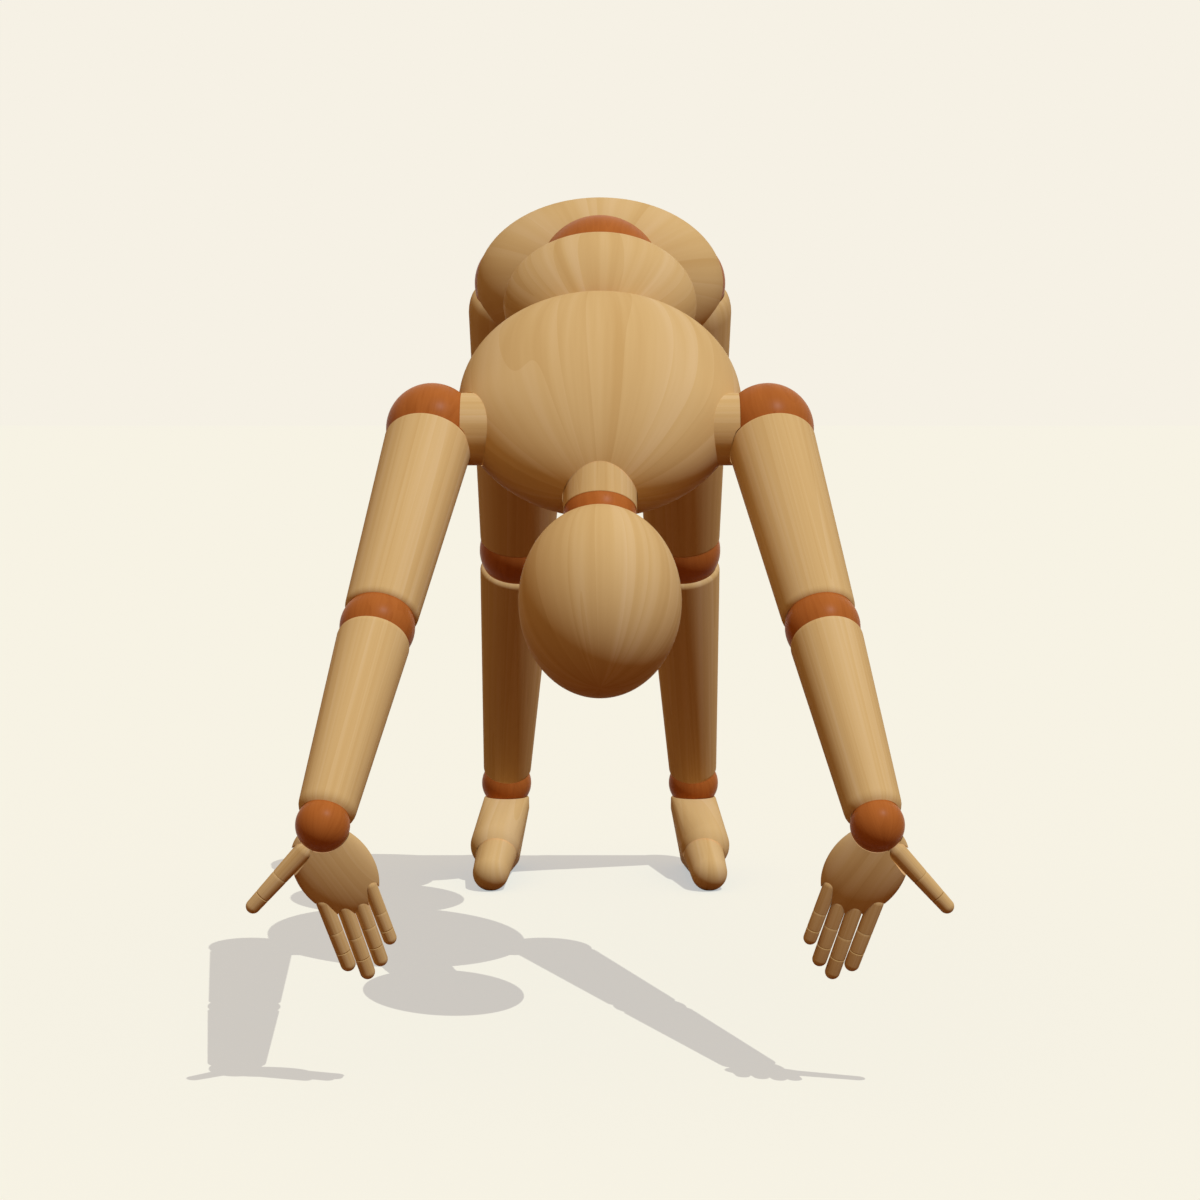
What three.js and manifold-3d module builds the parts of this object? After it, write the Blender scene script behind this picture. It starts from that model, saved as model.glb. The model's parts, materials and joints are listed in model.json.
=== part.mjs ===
// Wooden artist mannequin, bent forward from the hips with both arms stretched out past its head.
// Millimetres, +Z up. The figure looks along -Y, and its right side is at -X.
import * as THREE from "three";
import Module from "manifold-3d";
import { mergeVertices } from "three/addons/utils/BufferGeometryUtils.js";
import { ConvexGeometry } from "three/addons/geometries/ConvexGeometry.js";

const wasm = await Module();
wasm.setup();

// Clearances
const seatGap = 0.35; // between a ball and the socket that it turns in
const seatRub = 0.04; // least gap left between a ball's corners and its socket's flats
const rimLand = 0.1; // flat left round a socket's mouth
const sweepStep = 10; // degrees between the places where a moving piece is cut clear
const cutBlock = 200; // side of a block that takes away all beyond a flat

// Facets
const ballSides = 16;
const ballRings = 8;
const eggSides = 22;
const eggRings = 12;
const limbSides = 20;
const digitSides = 8;
const palmSides = 14;
const palmRings = 8;
const skinSides = 10;

// Balls
const waistBallRadius = 22.6;
const waistBallCut = 8; // from its centre back to its flat, which clears the hip balls
const waistSeatDepth = 19.5; // from its centre back to the bottom of the pelvis' socket
const spineBallRadius = 18;
const neckBallRadius = 10.8;
const shoulderBallRadius = 14.3;
const elbowBallRadius = 10.9;
const wristBallRadius = 7.4;
const hipBallRadius = 17;
const kneeBallRadius = 14.6;
const ankleBallRadius = 10.1;

// Legs
const ankleHeight = 35.1;
const ankleSpread = 38.3; // from the middle plane to each ankle
const shinLength = 112.6; // between ball centres, as the other limb lengths
const thighLength = 113.5;
const legLean = 28.6; // forward from upright
const shinSplay = 3.3; // inward going up
const thighSplay = 1.8;

// Feet
const toeOut = 5.4;
const footTurn = 7.4; // of the foot's body outward, as toeOut is of the toes
const footFrontReach = 28.7; // from the ankle to the ball of the foot
const footFrontHeight = 14.2;
const footFrontRadius = 9.7;
const footRimDrop = 5.6; // from the ankle down to the foot's level rim
const footRimRadius = 9.4;
const footRimRound = 0.4;
const footRimDepth = 5; // of the upright collar under the rim
const heelReach = -2.5; // behind the ankle
const heelRadius = 4.9;
const soleReach = 14;
const soleRadius = 5.5;
const soleShave = 0.8; // planed off to stand flat
const toeHingeReach = 30.5;
const toeHingeHeight = 11.8;
const toeRootRadius = 8;
const toeTipReach = 48;
const toeTipRadius = 7.1;

// Trunk, half sizes across, front to back and along the spine
const pelvisHalf = [44.2, 25.1, 31.1];
const pelvisTilt = 13.8; // backward from upright
const pelvisBelowHips = 0.3;
const pelvisAheadOfHips = 5.7;
const waistReach = 23.5; // from the pelvis' centre forward to the waist ball
const waistRise = 0.9; // and up
const abdomenHalf = [32.4, 23.9, 27.2];
const abdomenReach = 37.7; // from the waist ball to the abdomen's centre
const abdomenPitch = 16.5; // below level, as the other pitches
const abdomenTilt = 20.6;
const chestHalf = [44.6, 26.8, 46.9];
const chestReach = 61.9; // from the abdomen's centre to the chest's
const chestRise = 31.7; // pitch of that line
const chestPitch = 37.8; // pitch of the chest's own axis
const spineBallReach = 31.6; // from the chest's centre back to the spine ball

// Neck and head
const neckBallReach = 51.8; // from the chest's centre along its axis
const neckBallOffset = -3.6; // to the chest's back
const neckPitch = 53.8;
const neckLength = 20; // from the neck ball's centre back to the neck's foot in the chest
const headReach = 30.5; // from the neck ball to the head's centre
const headReachPitch = 51.6;
const headHalf = [24.1, 26.3, 29.5];
const headPitch = 53.8;

// Arms
const shoulderOut = 7.4; // from the chest's side out to the shoulder ball
const shoulderReach = 17.2; // from the chest's centre along its axis
const shoulderOffset = 2.6;
const pegDepth = 13.6; // of the peg's foot in the chest
const upperArmLength = 82.6;
const forearmLength = 71.5;
const armPitch = 43.7;
const armSplay = 8.5;

// How far round each ball its sockets reach, in degrees from the limb's axis
const pegSeat = 50;
const shoulderSeat = 63;
const elbowTopSeat = 68;
const elbowEndSeat = 63;
const wristSeat = 64;
const hipSeat = 78;
const kneeTopSeat = 70;
const kneeEndSeat = 59;
const ankleSeat = 54;
const neckSeat = 80;

// How far each limb's end stands out past its socket's mouth
const shoulderLip = 0.45;
const elbowTopLip = 0.45;
const elbowEndLip = 0.55;
const wristLip = 1.05;
const hipLip = 2.1;
const kneeTopLip = 0.4;
const kneeEndLip = 1.25;
const ankleLip = 1.2;
const neckLip = 0.45;

// Hands: s runs from the wrist to the fingertips, t runs from the thumb's side to the little finger's
const handPitch = 68.7; // the hand's line below level
const handBack = 39.8; // the hand's line turns from sideways to rearward by this
const palmTurn = -8.7; // of the palm's face, seen from above
const palmHalf = [10.5, 3.8, 14.6];
const palmReach = 13.5;
const palmOffset = -0.86;
const palmLean = 16.7; // of the palm's length towards the little finger
const fingerT = [-6.7, -1.7, 2.75, 7.9];
const fingerLean = [1.5, 0, 0, -3.1];
const fingerRoot = [21.5, 24.8, 25.1, 21.3];
const fingerKnuckle = [31.3, 34.5, 32.9, 29.7];
const fingerScore = [37.4, 40.9, 39.1, 34.9];
const fingerTip = [42.7, 46.9, 44.5, 39];
const fingerRadius = [1.85, 1.85, 1.85, 1.65];
const fingerTaper = 0.08; // how much thinner a finger's tip is than its root
const thumbRoot = [5.9, -8.5];
const thumbAngle = 59; // from the hand's line
const thumbKnuckle = 8.65; // along the thumb
const thumbScore = 15.25;
const thumbLength = 21.05;
const thumbRootRadius = 2.6;
const thumbTipRadius = 2;
const scoreDepth = 0.25;
const scoreHalfWidth = 0.3;
const knuckleSeat = 70;
const digitRoom = 0.75; // round a digit's root in the palm, so that it can bend

// How far the pieces that are cut clear of their neighbours move, in degrees
const hipSwing = [-10, 20];
const chestBend = [-8, 10];
const toeBend = [-6, 10];

const wood = { color: 0xc9a268, roughness: 0.55, metalness: 0 };
const stain = { color: 0x9c4a1c, roughness: 0.4, metalness: 0 };

const rad = THREE.MathUtils.degToRad;
const vec = (x, y, z) => new THREE.Vector3(x, y, z);
const across = vec(1, 0, 0);
const shoulderSpread = chestHalf[0] + shoulderOut; // from the middle plane, as pegInner is
const pegInner = chestHalf[0] - pegDepth;

// A direction in the middle plane, pitched below level and looking forward
function ahead(pitch) {
  return vec(0, -Math.cos(rad(pitch)), -Math.sin(rad(pitch)));
}

// A frame at a point with its Z along a direction and its X as near as can be to another
function frameAt(origin, along, sideways = across) {
  const z = along.clone().normalize();
  const y = vec(0, 0, 0).crossVectors(z, sideways).normalize();
  const x = vec(0, 0, 0).crossVectors(y, z);
  return new THREE.Matrix4().makeBasis(x, y, z).setPosition(origin);
}

// Solids
function solidOf(geometry) {
  geometry.deleteAttribute("normal");
  geometry.deleteAttribute("uv");
  const merged = mergeVertices(geometry, 1e-5);
  const points = merged.attributes.position.array;
  const corners = [];
  for (let i = 0; i < merged.index.count; i += 3) {
    const [a, b, c] = [0, 1, 2].map((k) => merged.index.getX(i + k));
    if (a !== b && b !== c && c !== a) corners.push(a, b, c);
  }
  const triangles = new Uint32Array(corners);
  return new wasm.Manifold(new wasm.Mesh({ numProp: 3, vertProperties: points, triVerts: triangles }));
}

// The body itself, without the slivers that a grazing cut leaves
function mainBody(solid) {
  return solid.decompose().sort((a, b) => b.volume() - a.volume())[0];
}

function meshOf(solid) {
  const { vertProperties, triVerts } = solid.getMesh();
  const geometry = new THREE.BufferGeometry();
  geometry.setAttribute("position", new THREE.BufferAttribute(vertProperties, 3));
  geometry.setIndex(new THREE.BufferAttribute(triVerts, 1));
  return geometry;
}

function placed(solid, matrix) {
  return solid.transform(matrix.elements);
}

function ball(radius, centre = vec(0, 0, 0)) {
  const geometry = new THREE.SphereGeometry(radius, ballSides, ballRings);
  geometry.rotateX(Math.PI / 2);
  return placed(solidOf(geometry), new THREE.Matrix4().makeTranslation(centre));
}

// The hollow for a ball, with enough sides that its flats clear the ball's corners
function socket(ballRadius, centre = vec(0, 0, 0)) {
  const radius = ballRadius + seatGap;
  const sides = Math.ceil(Math.PI * Math.sqrt((radius * 0.85) / (seatGap - seatRub)));
  const geometry = new THREE.SphereGeometry(radius, sides, Math.ceil(sides * 0.6));
  geometry.rotateX(Math.PI / 2);
  return placed(solidOf(geometry), new THREE.Matrix4().makeTranslation(centre));
}

function egg(half, grow = 0, sides = eggSides, rings = eggRings) {
  const geometry = new THREE.SphereGeometry(1, sides, rings);
  geometry.rotateX(Math.PI / 2);
  geometry.scale(half[0] + grow, half[1] + grow, half[2] + grow);
  return solidOf(geometry);
}

// A turned piece from its outline, a list of radius and height that starts and ends on the axis
function turned(outline, sides) {
  const points = outline.map(([radius, height]) => new THREE.Vector2(Math.max(radius, 0), height));
  const geometry = new THREE.LatheGeometry(points, sides);
  geometry.rotateX(Math.PI / 2);
  return solidOf(geometry);
}

function arcPoints(radius, height, from, to, count) {
  const points = [];
  for (let i = 0; i <= count; i += 1) {
    const angle = rad(from + ((to - from) * i) / count);
    points.push([radius * Math.cos(angle), height + radius * Math.sin(angle)]);
  }
  return points;
}

// The end of a limb that seats on a ball: its height from the ball, its mouth and its outer radius
function seatOn(ballRadius, seat, lip) {
  const reach = ballRadius + seatGap;
  const mouth = reach * Math.sin(rad(seat));
  const land = (mouth + rimLand) / Math.cos(Math.PI / limbSides);
  const radius = mouth + lip;
  return { ballRadius, height: reach * Math.cos(rad(seat)), land, radius, round: Math.max(radius - land, 0) * 2 };
}

// The envelope of a limb between two seated ends, optionally grown by a clearance
function bar(start, end, length, grow = 0) {
  const low = start.height - grow;
  const high = length - end.height + grow;
  return turned([
    [0, low],
    [start.land + grow, low],
    [start.radius + grow - (start.radius - start.land) * 0.25, low + start.round * 0.4],
    [start.radius + grow, low + start.round],
    [end.radius + grow, high - end.round],
    [end.radius + grow - (end.radius - end.land) * 0.25, high - end.round * 0.4],
    [end.land + grow, high],
    [0, high],
  ], limbSides);
}

// A plain rod with flat ends
function rod(radius, from, to) {
  return turned([[0, from], [radius, from], [radius, to], [0, to]], limbSides);
}

// A capsule with a round end at each of two heights
function capsule(bottomRadius, topRadius, length, sides, grow = 0) {
  return turned([
    ...arcPoints(bottomRadius + grow, 0, -90, 0, 3),
    ...arcPoints(topRadius + grow, length, 0, 90, 3),
  ], sides);
}

// Every place that a solid passes through as it turns about an axis at a point
function sweep(solid, centre, axis, range) {
  const steps = Math.ceil((range[1] - range[0]) / sweepStep);
  let all = solid;
  for (let i = 0; i <= steps; i += 1) {
    const angle = rad(range[0] + ((range[1] - range[0]) * i) / steps);
    const turn = new THREE.Matrix4().makeTranslation(centre)
      .multiply(new THREE.Matrix4().makeRotationAxis(axis, angle))
      .multiply(new THREE.Matrix4().makeTranslation(centre.clone().negate()));
    all = all.add(placed(solid, turn));
  }
  return all;
}

// The figure: each mesh has its own frame, whose origin is the centre of the joint that carries it
const figure = new THREE.Group();

function addPiece(name, solid, frame, finish) {
  const geometry = meshOf(placed(solid, frame.clone().invert()));
  const mesh = new THREE.Mesh(geometry, new THREE.MeshStandardMaterial(finish));
  mesh.name = name;
  frame.decompose(mesh.position, mesh.quaternion, mesh.scale);
  figure.add(mesh);
}

function addBall(name, radius, frame) {
  addPiece(name, placed(ball(radius), frame), frame, stain);
}

// A limb between two balls, hollowed at both ends for them
function addLimb(name, frame, start, end, length) {
  const solid = bar(start, end, length)
    .subtract(socket(start.ballRadius))
    .subtract(socket(end.ballRadius, vec(0, 0, length)));
  addPiece(name, placed(solid, frame), frame, wood);
}

// Legs, from the ground up
function legPoints(side) {
  const up = (splay) => vec(-side * Math.sin(rad(splay)), -Math.sin(rad(legLean)) * Math.cos(rad(splay)),
    Math.cos(rad(legLean)) * Math.cos(rad(splay)));
  const ankle = vec(side * ankleSpread, 0, ankleHeight);
  const knee = ankle.clone().addScaledVector(up(shinSplay), shinLength);
  const hip = knee.clone().addScaledVector(up(thighSplay), thighLength);
  return { ankle, knee, hip };
}

const thighTop = seatOn(hipBallRadius, hipSeat, hipLip);
const thighEnd = seatOn(kneeBallRadius, kneeTopSeat, kneeTopLip);
const shinTop = seatOn(kneeBallRadius, kneeEndSeat, kneeEndLip);
const shinEnd = seatOn(ankleBallRadius, ankleSeat, ankleLip);

function addLeg(label, side) {
  const points = legPoints(side);
  const thighFrame = frameAt(points.hip, points.knee.clone().sub(points.hip));
  const shinFrame = frameAt(points.knee, points.ankle.clone().sub(points.knee));
  addBall(`${label}_hip_ball`, hipBallRadius, thighFrame);
  addLimb(`${label}_thigh`, thighFrame, thighTop, thighEnd, thighLength);
  addBall(`${label}_knee_ball`, kneeBallRadius, shinFrame);
  addLimb(`${label}_shin`, shinFrame, shinTop, shinEnd, shinLength);
  addFoot(label, side, points.ankle);
}

function addFoot(label, side, ankle) {
  const way = (turn) => vec(side * Math.sin(rad(turn)), -Math.cos(rad(turn)), 0);
  const along = (turn, reach, height) => vec(ankle.x, ankle.y, height).addScaledVector(way(turn), reach);
  const at = (reach, height) => along(toeOut, reach, height);
  const sideways = vec(Math.cos(rad(toeOut)), side * Math.sin(rad(toeOut)), 0);
  const footFrame = frameAt(ankle, way(toeOut), sideways);
  addBall(`${label}_ankle_ball`, ankleBallRadius, footFrame);

  const skin = [];
  for (const [radius, centre] of [
    [footFrontRadius, along(footTurn, footFrontReach, footFrontHeight)],
    [heelRadius, along(footTurn, heelReach, heelRadius - soleShave)],
    [soleRadius, along(footTurn, soleReach, soleRadius - soleShave)],
  ]) {
    const spots = new THREE.SphereGeometry(radius, skinSides, skinSides / 2).attributes.position;
    for (let i = 0; i < spots.count; i += 1) {
      skin.push(vec(0, 0, 0).fromBufferAttribute(spots, i).add(centre));
    }
  }
  const rim = ankle.z - footRimDrop;
  for (const [radius, height] of [
    [footRimRadius - footRimRound, rim],
    [footRimRadius, rim - footRimRound],
    [footRimRadius, rim - footRimDepth],
  ]) {
    for (let i = 0; i < limbSides; i += 1) {
      const angle = (2 * Math.PI * i) / limbSides;
      skin.push(vec(ankle.x + radius * Math.cos(angle), ankle.y + radius * Math.sin(angle), height));
    }
  }
  const shave = new THREE.BoxGeometry(cutBlock, cutBlock, cutBlock);
  shave.translate(ankle.x, ankle.y, -cutBlock / 2);
  const ground = solidOf(shave);

  const hinge = at(toeHingeReach, toeHingeHeight);
  const tip = at(toeTipReach, toeTipRadius - soleShave / 2);
  const toeFrame = frameAt(hinge, tip.clone().sub(hinge), sideways);
  const toeLength = hinge.distanceTo(tip);
  const toe = placed(capsule(toeRootRadius, toeTipRadius, toeLength, palmSides), toeFrame);
  const toeRoom = placed(capsule(toeRootRadius, toeTipRadius, toeLength, palmSides, seatGap * 2), toeFrame);

  const foot = solidOf(new ConvexGeometry(skin))
    .subtract(ground)
    .subtract(socket(ankleBallRadius, ankle))
    .subtract(sweep(toeRoom, hinge, sideways, toeBend));
  addPiece(`${label}_foot`, foot, footFrame, wood);
  addPiece(`${label}_toe_cap`, toe.subtract(ground), toeFrame, wood);
}

// Trunk
const hips = [-1, 1].map((side) => legPoints(side).hip);
const pelvisCentre = hips[0].clone().add(hips[1]).multiplyScalar(0.5)
  .add(vec(0, -pelvisAheadOfHips, -pelvisBelowHips));
const waistCentre = pelvisCentre.clone().add(vec(0, -waistReach, waistRise));
const abdomenCentre = waistCentre.clone().addScaledVector(ahead(abdomenPitch), abdomenReach);
const chestCentre = abdomenCentre.clone().addScaledVector(ahead(chestRise), chestReach);
const chestFrame = frameAt(chestCentre, ahead(chestPitch));
const inChest = (x, back, along) => vec(x, back, along).applyMatrix4(chestFrame);
const spineCentre = inChest(0, 0, -spineBallReach);

function addTrunk() {
  const pelvisFrame = frameAt(pelvisCentre, vec(0, Math.sin(rad(pelvisTilt)), Math.cos(rad(pelvisTilt))));
  const waistFrame = frameAt(waistCentre, ahead(abdomenPitch));
  const abdomenFrame = frameAt(abdomenCentre, ahead(abdomenTilt));

  const behind = (depth) => solidOf(new THREE.BoxGeometry(cutBlock, cutBlock, cutBlock)
    .translate(0, 0, -cutBlock / 2 - depth));
  const waistSocket = placed(socket(waistBallRadius).subtract(behind(waistSeatDepth)),
    frameAt(waistCentre, ahead(0)));
  let pelvis = placed(egg(pelvisHalf), pelvisFrame).subtract(waistSocket);
  for (const side of [-1, 1]) {
    const { hip, knee } = legPoints(side);
    const thighRoom = placed(bar(thighTop, thighEnd, thighLength, seatGap * 2), frameAt(hip, knee.sub(hip)));
    pelvis = pelvis
      .subtract(socket(hipBallRadius, hip))
      .subtract(sweep(thighRoom, hip, across, hipSwing));
  }
  addPiece("pelvis", mainBody(pelvis), pelvisFrame, wood);

  const waistBall = placed(ball(waistBallRadius).subtract(behind(waistBallCut)), waistFrame);
  addPiece("waist_ball", waistBall, waistFrame, stain);

  const chestRoom = placed(egg(chestHalf, seatGap * 1.5), chestFrame);
  const abdomen = placed(egg(abdomenHalf), abdomenFrame)
    .subtract(socket(waistBallRadius, waistCentre))
    .subtract(socket(spineBallRadius, spineCentre))
    .subtract(sweep(chestRoom, spineCentre, across, chestBend));
  addPiece("abdomen", abdomen, waistFrame, wood);

  const spineFrame = frameAt(spineCentre, ahead(chestPitch));
  addBall("spine_ball", spineBallRadius, spineFrame);
  return { spineFrame };
}

// Neck and head, carried by the chest
const neckCentre = inChest(0, neckBallOffset, neckBallReach);
const neckFrame = frameAt(neckCentre, ahead(neckPitch));

function addHead() {
  const end = seatOn(neckBallRadius, neckSeat, neckLip);
  const neck = turned([
    [0, -neckLength],
    [end.radius, -neckLength],
    [end.radius, -end.height - end.round],
    [end.land, -end.height],
    [0, -end.height],
  ], limbSides).subtract(socket(neckBallRadius));
  addPiece("neck", placed(neck, neckFrame), neckFrame, wood);
  const headTurn = frameAt(neckCentre, ahead(headReachPitch));
  addBall("neck_ball", neckBallRadius, headTurn);
  const headCentre = neckCentre.clone().addScaledVector(ahead(headReachPitch), headReach);
  const head = placed(egg(headHalf), frameAt(headCentre, ahead(headPitch)))
    .subtract(socket(neckBallRadius, neckCentre));
  addPiece("head", head, headTurn, wood);
}

// Arms
function armDirection(side) {
  const level = ahead(armPitch).multiplyScalar(Math.cos(rad(armSplay)));
  return level.add(vec(side * Math.sin(rad(armSplay)), 0, 0));
}

function shoulderPoint(side) {
  return inChest(side * shoulderSpread, shoulderOffset, shoulderReach);
}

// The peg's frame runs outward from its foot in the chest
const pegRadius = (shoulderBallRadius + seatGap) * Math.sin(rad(pegSeat));

function pegFoot(side) {
  const { y, z } = shoulderPoint(side);
  return frameAt(vec(side * pegInner, y, z), vec(side, 0, 0), ahead(chestPitch));
}

function addArm(label, side) {
  const shoulder = shoulderPoint(side);
  const direction = armDirection(side);
  const upperFrame = frameAt(shoulder, direction);
  const elbow = shoulder.clone().addScaledVector(direction, upperArmLength);
  const lowerFrame = frameAt(elbow, direction);
  const wrist = elbow.clone().addScaledVector(direction, forearmLength);
  const upperTop = seatOn(shoulderBallRadius, shoulderSeat, shoulderLip);
  const upperEnd = seatOn(elbowBallRadius, elbowTopSeat, elbowTopLip);
  const lowerTop = seatOn(elbowBallRadius, elbowEndSeat, elbowEndLip);
  const lowerEnd = seatOn(wristBallRadius, wristSeat, wristLip);

  const armRoom = placed(bar(upperTop, upperEnd, upperArmLength, seatGap * 2), upperFrame);
  const peg = placed(rod(pegRadius, 0, shoulderSpread - pegInner), pegFoot(side))
    .subtract(socket(shoulderBallRadius, shoulder))
    .subtract(armRoom);
  const pegFrame = frameAt(shoulder, ahead(chestPitch));
  addPiece(`${label}_shoulder_peg`, peg, pegFrame, wood);
  addBall(`${label}_shoulder_ball`, shoulderBallRadius, upperFrame);
  addLimb(`${label}_upper_arm`, upperFrame, upperTop, upperEnd, upperArmLength);
  addBall(`${label}_elbow_ball`, elbowBallRadius, lowerFrame);
  addLimb(`${label}_forearm`, lowerFrame, lowerTop, lowerEnd, forearmLength);
  addHand(label, side, wrist);
}

// A hand, in its own frame: Z from the wrist to the fingertips, Y to its back, X across it
function handFrame(side, wrist) {
  const level = Math.cos(rad(handPitch));
  const line = vec(-side * level * Math.cos(rad(handBack)), level * Math.sin(rad(handBack)),
    -Math.sin(rad(handPitch)));
  const turn = rad(palmTurn);
  return frameAt(wrist, line, vec(Math.cos(turn), side * Math.sin(turn), 0));
}

function addHand(label, side, wrist) {
  const frame = handFrame(side, wrist);
  addBall(`${label}_wrist_ball`, wristBallRadius, frame);
  const palmFrame = new THREE.Matrix4().makeTranslation(-side * palmOffset, 0, palmReach)
    .multiply(new THREE.Matrix4().makeRotationY(-side * rad(palmLean)));
  let palm = placed(egg(palmHalf, 0, palmSides, palmRings), palmFrame)
    .subtract(socket(wristBallRadius));

  const digits = ["index", "middle", "ring", "little"].map((name, i) => ({
    name: `${name}_finger`,
    root: vec(-side * fingerT[i], 0, fingerRoot[i]),
    line: vec(-side * Math.sin(rad(fingerLean[i])), 0, Math.cos(rad(fingerLean[i]))),
    knuckle: fingerKnuckle[i] - fingerRoot[i],
    score: fingerScore[i] - fingerRoot[i],
    length: fingerTip[i] - fingerRoot[i],
    rootRadius: fingerRadius[i],
    tipRadius: fingerRadius[i] * (1 - fingerTaper),
  }));
  digits.push({
    name: "thumb",
    root: vec(-side * thumbRoot[1], 0, thumbRoot[0]),
    line: vec(side * Math.sin(rad(thumbAngle)), 0, Math.cos(rad(thumbAngle))),
    knuckle: thumbKnuckle,
    score: thumbScore,
    length: thumbLength,
    rootRadius: thumbRootRadius,
    tipRadius: thumbTipRadius,
  });

  for (const digit of digits) {
    const rootFrame = frameAt(digit.root, digit.line);
    const room = capsule(digit.rootRadius, digit.rootRadius, digit.knuckle, digitSides, digitRoom);
    palm = palm.subtract(placed(room, rootFrame));
    addDigit(`${label}_${digit.name}`, digit, frame.clone().multiply(rootFrame));
  }
  addPiece(`${label}_palm`, placed(palm, frame), frame, wood);
}

// A digit is two pieces: one from the palm to its knuckle, and one scored length past it
function addDigit(name, digit, rootFrame) {
  const share = digit.knuckle / digit.length;
  const knuckleRadius = digit.rootRadius + (digit.tipRadius - digit.rootRadius) * share;
  const base = capsule(digit.rootRadius, knuckleRadius, digit.knuckle, digitSides);
  const room = (knuckleRadius + seatGap) / Math.cos(Math.PI / digitSides);
  const mouth = knuckleRadius * Math.cos(rad(knuckleSeat));
  const beyond = new THREE.BoxGeometry(cutBlock, cutBlock, cutBlock);
  beyond.translate(0, 0, digit.knuckle - mouth + cutBlock / 2);
  const hollow = placed(capsule(room, room, 0.5, digitSides), new THREE.Matrix4().makeTranslation(0, 0, digit.knuckle));
  addPiece(`${name}_base`, placed(base.subtract(solidOf(beyond)).subtract(hollow), rootFrame), rootFrame, wood);

  const tipLength = digit.length - digit.knuckle - digit.tipRadius;
  const score = digit.score - digit.knuckle;
  const scoreRadius = knuckleRadius + ((digit.tipRadius - knuckleRadius) * score) / tipLength;
  const tip = turned([
    ...arcPoints(knuckleRadius, 0, -90, 0, 3),
    [scoreRadius, score - scoreHalfWidth],
    [scoreRadius - scoreDepth, score],
    [scoreRadius, score + scoreHalfWidth],
    ...arcPoints(digit.tipRadius, tipLength, 0, 90, 3),
  ], digitSides);
  const tipFrame = rootFrame.clone().multiply(new THREE.Matrix4().makeTranslation(0, 0, digit.knuckle));
  addPiece(`${name}_tip`, placed(tip, tipFrame), tipFrame, wood);
}

function addChest(spineFrame) {
  const neckRoom = rod(seatOn(neckBallRadius, neckSeat, neckLip).radius + seatGap * 1.5,
    -neckLength - seatGap, neckLength);
  let chest = placed(egg(chestHalf), chestFrame)
    .subtract(socket(spineBallRadius, spineCentre))
    .subtract(placed(neckRoom, neckFrame));
  for (const side of [-1, 1]) {
    const pegRoom = rod(pegRadius + seatGap * 1.5, -seatGap * 1.5, shoulderSpread);
    chest = chest
      .subtract(placed(pegRoom, pegFoot(side)))
      .subtract(socket(shoulderBallRadius + seatGap, shoulderPoint(side)));
  }
  addPiece("chest", chest, spineFrame, wood);
}

const { spineFrame } = addTrunk();
addChest(spineFrame);
addHead();
for (const [label, side] of [["right", -1], ["left", 1]]) {
  addArm(label, side);
  addLeg(label, side);
}

// The origin is at the bottom centre of the figure's box
const box = new THREE.Box3().setFromObject(figure, true);
figure.position.set(0, -(box.min.y + box.max.y) / 2, -box.min.z);

const mannequin = new THREE.Group();
mannequin.add(figure);
export default mannequin;
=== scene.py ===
# Wooden artist mannequin, bent forward with both arms stretched out past its head
import bpy
import json
import math
from mathutils import Matrix, Vector


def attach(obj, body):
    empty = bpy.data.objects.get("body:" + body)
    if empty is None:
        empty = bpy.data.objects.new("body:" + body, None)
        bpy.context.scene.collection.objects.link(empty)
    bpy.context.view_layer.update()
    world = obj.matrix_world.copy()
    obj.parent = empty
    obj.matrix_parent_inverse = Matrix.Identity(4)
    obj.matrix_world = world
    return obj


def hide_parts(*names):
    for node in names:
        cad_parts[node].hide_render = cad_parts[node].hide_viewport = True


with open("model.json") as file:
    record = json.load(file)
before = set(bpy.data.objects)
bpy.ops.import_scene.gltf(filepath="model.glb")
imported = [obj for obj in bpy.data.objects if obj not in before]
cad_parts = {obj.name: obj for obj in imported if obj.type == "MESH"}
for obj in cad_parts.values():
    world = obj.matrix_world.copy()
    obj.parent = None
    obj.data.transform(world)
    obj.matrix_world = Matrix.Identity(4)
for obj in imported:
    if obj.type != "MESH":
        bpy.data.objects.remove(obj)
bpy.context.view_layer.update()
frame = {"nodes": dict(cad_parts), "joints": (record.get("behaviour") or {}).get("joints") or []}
joints = {joint["name"]: joint for joint in frame["joints"]}
mm = 0.001
nearness = 1e-6         # two heights this close count as the same, in metres
sideways = Vector((1, 0, 0))
otherSide = Matrix.Diagonal((-1, 1, 1, 1))
print("frame loaded, pieces:", len(frame["nodes"]))


# places and directions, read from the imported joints
def spotOf(name):
    return Vector(joints[name]["pos_m"])


def lineOf(name):
    return Vector(joints[name]["axis"]).normalized()


def ahead(pitch):  # a direction in the middle plane, pitched below level, looking forward
    return Vector((0, -math.cos(math.radians(pitch)), -math.sin(math.radians(pitch))))


def frameAt(origin, along, across=sideways):
    z = along.normalized()
    y = z.cross(across).normalized()
    x = y.cross(z)
    return Matrix.Translation(origin) @ Matrix((x, y, z)).transposed().to_4x4()


def turnAbout(centre, axis, degrees):
    return (Matrix.Translation(centre) @ Matrix.Rotation(math.radians(degrees), 4, axis)
            @ Matrix.Translation(-centre))


# where the right side's joints are, and which way its limbs run; the left side mirrors them
shoulder, elbow, wrist = (spotOf(f"right_{n}") for n in ("arm_twist", "elbow_bend", "wrist_bend"))
hip, knee, ankle = (spotOf(f"right_{n}") for n in ("thigh_twist", "knee_bend", "ankle_bend"))
armLine, thighLine, shinLine = (
    lineOf(f"right_{n}") for n in ("arm_twist", "thigh_twist", "shin_twist"))
waist, spine, neck = spotOf("waist_bend"), spotOf("chest_bend"), spotOf("neck_nod")
wristLine = lineOf("right_wrist_bend")
handFrame = frameAt(wrist, wristLine.cross(lineOf("right_wrist_tilt")), wristLine)


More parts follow.
